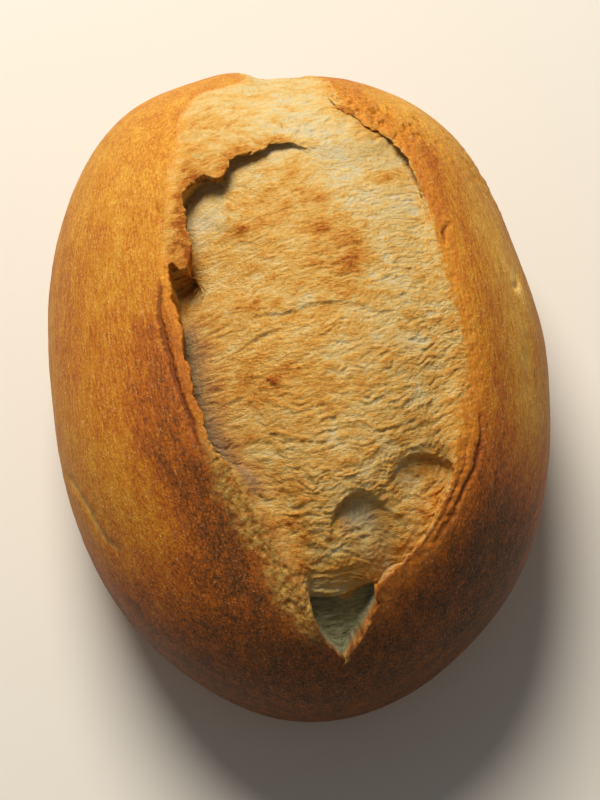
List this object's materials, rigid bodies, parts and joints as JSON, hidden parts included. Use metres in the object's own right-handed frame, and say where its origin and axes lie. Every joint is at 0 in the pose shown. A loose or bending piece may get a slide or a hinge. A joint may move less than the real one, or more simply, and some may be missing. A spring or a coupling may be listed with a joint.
{
  "type": "crusty bread roll",
  "caption": "Oval crusty bread roll with a flat base and a torn split along its top that shows pale crumb between browned lips, for serving or filling.",
  "frame": {"origin": "centre of the flat base, under the middle of the roll's bounding box", "axes": "+Z up from the base, +Y along the roll's long axis, away from the pointed end of the split, +X to the right seen from above with +Y up"},
  "size_m": [0.0828, 0.1098, 0.0573],
  "materials": {
    "crust": "golden-brown baked crust with a low sheen, and pale matte crumb in the split"
  },
  "bodies": {
    "root": {"bread_roll": "crust"}
  },
  "joints": []
}
